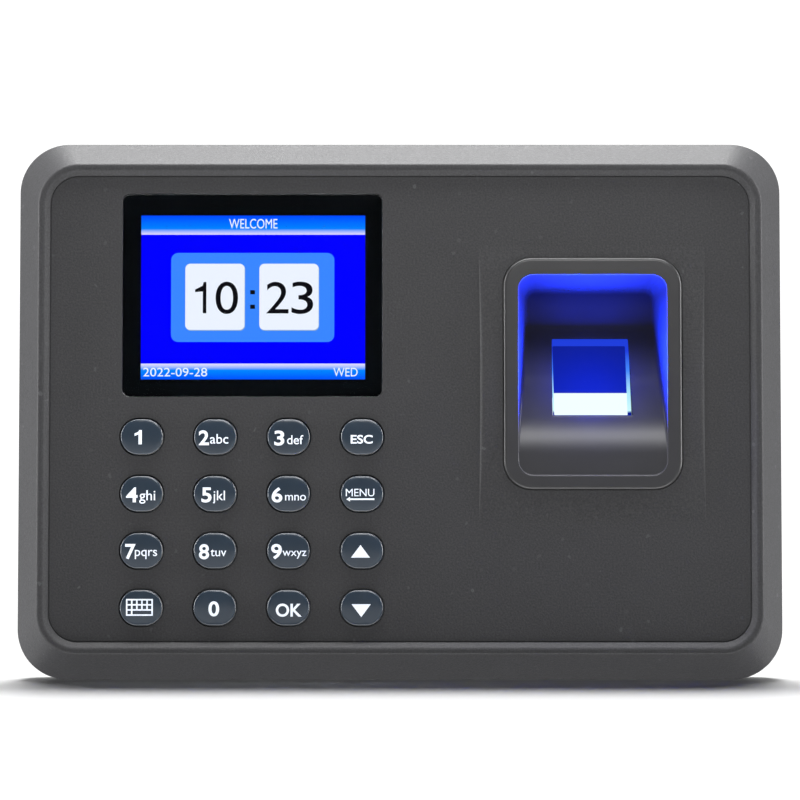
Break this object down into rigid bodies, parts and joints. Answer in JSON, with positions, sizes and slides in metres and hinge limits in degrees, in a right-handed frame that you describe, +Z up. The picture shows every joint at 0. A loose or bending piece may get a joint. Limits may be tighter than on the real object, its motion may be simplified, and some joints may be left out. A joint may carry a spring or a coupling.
{
  "type": "fingerprint scanner terminal",
  "caption": "Wall-mounted fingerprint attendance terminal with a colour screen, a keypad, a sloping finger rest over an optical sensor, and a steel wall plate.",
  "frame": {"origin": "centre of the wall plate's back face, on the wall plane, at mid width and mid height of the casing", "axes": "+Z up, +X to the viewer's right, +Y into the wall; the front faces -Y"},
  "size_m": [0.185, 0.031, 0.13],
  "materials": {
    "casing": "fine moulded grain, dark grey",
    "guide": "smooth satin dark grey",
    "window": "clear hard-coated pane, printed black at the back",
    "display": "lit blue colour display",
    "tray": "pressed sheet",
    "foam": "black foam",
    "key": "glossy dark blue-grey",
    "rubber": "moulded silicone",
    "board": "green solder mask",
    "chip": "moulded black",
    "lens": "moulded lens",
    "prism": "polished prism lit blue from inside",
    "light": "lit diffuser",
    "steel": "zinc-plated",
    "cable": "grey insulation"
  },
  "bodies": {
    "terminal": {"front_shell": "casing", "back_shell": "casing", "finger_guide": "guide", "screen_window": "window", "display_gasket": "foam", "display_panel": "display", "display_tray": "tray", "keypad_mat": "rubber", "front_board": "board", "main_board": "board", "sensor_board": "board", "processor_chip": "chip", "coin_cell_holder": "chip", "coin_cell": "steel", "usb_socket": "steel", "dc_socket": "chip", "sensor_housing": "chip", "sensor_lens": "lens", "sensor_prism": "prism", "light_bar": "light", "board_ribbon": "cable", "sensor_lead": "cable", "speaker_lead": "cable", "speaker": "chip", "wall_plate": "steel", "wall_plate_screw": "steel", "case_screw_1": "steel", "front_board_screw_1": "steel", "guide_screw_1": "steel", "main_board_screw_1": "steel", "case_screw_2": "steel", "front_board_screw_2": "steel", "guide_screw_2": "steel", "main_board_screw_2": "steel", "case_screw_3": "steel", "front_board_screw_3": "steel", "guide_screw_3": "steel", "main_board_screw_3": "steel", "case_screw_4": "steel", "front_board_screw_4": "steel", "guide_screw_4": "steel", "main_board_screw_4": "steel"},
    "key_1": {"key_1": "key"},
    "key_2": {"key_2": "key"},
    "key_3": {"key_3": "key"},
    "key_escape": {"key_escape": "key"},
    "key_4": {"key_4": "key"},
    "key_5": {"key_5": "key"},
    "key_6": {"key_6": "key"},
    "key_menu": {"key_menu": "key"},
    "key_7": {"key_7": "key"},
    "key_8": {"key_8": "key"},
    "key_9": {"key_9": "key"},
    "key_up": {"key_up": "key"},
    "key_input_mode": {"key_input_mode": "key"},
    "key_0": {"key_0": "key"},
    "key_ok": {"key_ok": "key"},
    "key_down": {"key_down": "key"}
  },
  "joints": [
    {"name": "key_1_press", "type": "slide", "parent": "terminal", "child": "key_1", "axis": [0, 1, 0], "range_m": [0, 0.0008], "stiffness_N_per_m": 600},
    {"name": "key_2_press", "type": "slide", "parent": "terminal", "child": "key_2", "axis": [0, 1, 0], "range_m": [0, 0.0008], "stiffness_N_per_m": 600},
    {"name": "key_3_press", "type": "slide", "parent": "terminal", "child": "key_3", "axis": [0, 1, 0], "range_m": [0, 0.0008], "stiffness_N_per_m": 600},
    {"name": "key_escape_press", "type": "slide", "parent": "terminal", "child": "key_escape", "axis": [0, 1, 0], "range_m": [0, 0.0008], "stiffness_N_per_m": 600},
    {"name": "key_4_press", "type": "slide", "parent": "terminal", "child": "key_4", "axis": [0, 1, 0], "range_m": [0, 0.0008], "stiffness_N_per_m": 600},
    {"name": "key_5_press", "type": "slide", "parent": "terminal", "child": "key_5", "axis": [0, 1, 0], "range_m": [0, 0.0008], "stiffness_N_per_m": 600},
    {"name": "key_6_press", "type": "slide", "parent": "terminal", "child": "key_6", "axis": [0, 1, 0], "range_m": [0, 0.0008], "stiffness_N_per_m": 600},
    {"name": "key_menu_press", "type": "slide", "parent": "terminal", "child": "key_menu", "axis": [0, 1, 0], "range_m": [0, 0.0008], "stiffness_N_per_m": 600},
    {"name": "key_7_press", "type": "slide", "parent": "terminal", "child": "key_7", "axis": [0, 1, 0], "range_m": [0, 0.0008], "stiffness_N_per_m": 600},
    {"name": "key_8_press", "type": "slide", "parent": "terminal", "child": "key_8", "axis": [0, 1, 0], "range_m": [0, 0.0008], "stiffness_N_per_m": 600},
    {"name": "key_9_press", "type": "slide", "parent": "terminal", "child": "key_9", "axis": [0, 1, 0], "range_m": [0, 0.0008], "stiffness_N_per_m": 600},
    {"name": "key_up_press", "type": "slide", "parent": "terminal", "child": "key_up", "axis": [0, 1, 0], "range_m": [0, 0.0008], "stiffness_N_per_m": 600},
    {"name": "key_input_mode_press", "type": "slide", "parent": "terminal", "child": "key_input_mode", "axis": [0, 1, 0], "range_m": [0, 0.0008], "stiffness_N_per_m": 600},
    {"name": "key_0_press", "type": "slide", "parent": "terminal", "child": "key_0", "axis": [0, 1, 0], "range_m": [0, 0.0008], "stiffness_N_per_m": 600},
    {"name": "key_ok_press", "type": "slide", "parent": "terminal", "child": "key_ok", "axis": [0, 1, 0], "range_m": [0, 0.0008], "stiffness_N_per_m": 600},
    {"name": "key_down_press", "type": "slide", "parent": "terminal", "child": "key_down", "axis": [0, 1, 0], "range_m": [0, 0.0008], "stiffness_N_per_m": 600}
  ]
}
